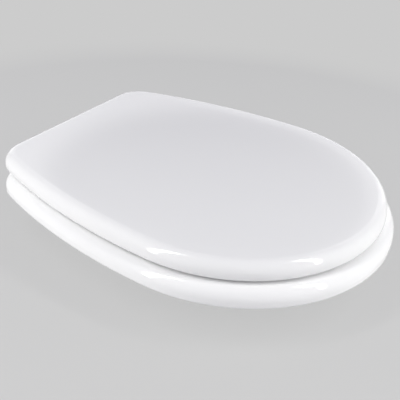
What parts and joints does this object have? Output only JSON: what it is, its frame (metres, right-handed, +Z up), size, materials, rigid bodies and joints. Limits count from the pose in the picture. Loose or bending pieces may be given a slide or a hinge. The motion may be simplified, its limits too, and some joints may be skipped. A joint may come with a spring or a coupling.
{
  "type": "toilet seat",
  "caption": "D-shaped toilet seat with a smooth rounded lid over a matching ring, both turning on concealed rear hinges and fixed by bolts through the pan.",
  "frame": {"origin": "midway between the two fixing bolts, on the plane of the pan's top face that the foot pads and ring buffers stand on", "axes": "+Z up, -Y towards the nose of the seat, +Y towards its straight rear edge, +X to the right seen from the nose"},
  "size_m": [0.368, 0.4404, 0.093],
  "materials": {
    "white_gloss": "polished white moulding",
    "buffer_rubber": "soft pale grey",
    "stainless_steel": "satin",
    "black_rubber": "matt",
    "white_nylon": "matt"
  },
  "bodies": {
    "mounting": {"left_hinge_foot": "stainless_steel", "left_hinge_pin": "stainless_steel", "left_foot_pad": "black_rubber", "left_fixing_bolt": "stainless_steel", "left_rubber_washer": "black_rubber", "left_steel_washer": "stainless_steel", "left_wing_nut": "white_nylon", "right_hinge_foot": "stainless_steel", "right_hinge_pin": "stainless_steel", "right_foot_pad": "black_rubber", "right_fixing_bolt": "stainless_steel", "right_rubber_washer": "black_rubber", "right_steel_washer": "stainless_steel", "right_wing_nut": "white_nylon"},
    "ring": {"seat_ring": "white_gloss", "front_left_ring_buffer": "buffer_rubber", "front_right_ring_buffer": "buffer_rubber", "rear_left_ring_buffer": "buffer_rubber", "rear_right_ring_buffer": "buffer_rubber"},
    "cover": {"lid": "white_gloss", "front_left_lid_buffer": "buffer_rubber", "front_right_lid_buffer": "buffer_rubber", "rear_left_lid_buffer": "buffer_rubber", "rear_right_lid_buffer": "buffer_rubber"}
  },
  "joints": [
    {"name": "ring_hinge", "type": "hinge", "parent": "mounting", "child": "ring", "pos_m": [0, 0.028, 0.024], "axis": [-1, 0, 0], "range_deg": [0, 92]},
    {"name": "lid_hinge", "type": "hinge", "parent": "ring", "child": "cover", "pos_m": [0, 0.028, 0.024], "axis": [-1, 0, 0], "range_deg": [0, 93]}
  ]
}
